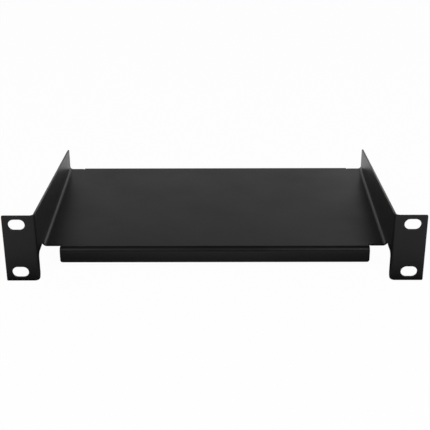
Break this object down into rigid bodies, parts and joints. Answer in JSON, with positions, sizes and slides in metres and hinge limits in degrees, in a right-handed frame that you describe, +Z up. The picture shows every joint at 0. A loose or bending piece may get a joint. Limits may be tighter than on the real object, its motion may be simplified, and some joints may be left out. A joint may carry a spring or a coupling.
{
  "type": "cantilever rack shelf",
  "caption": "Cantilever rack shelf folded from sheet steel: a flat deck with down-turned lips between sloping side walls, held at the front by slotted mounting ears.",
  "frame": {"origin": "middle of the four fixing slots, on the back face of the ears where they meet the rack", "axes": "+X across the rack to the right as seen from its front, +Y into the rack, +Z up"},
  "size_m": [0.254, 0.15, 0.0436],
  "materials": {
    "powder_coat": "fine-textured semi-gloss black powder coat on steel sheet"
  },
  "bodies": {
    "root": {"shelf": "powder_coat"}
  },
  "joints": []
}
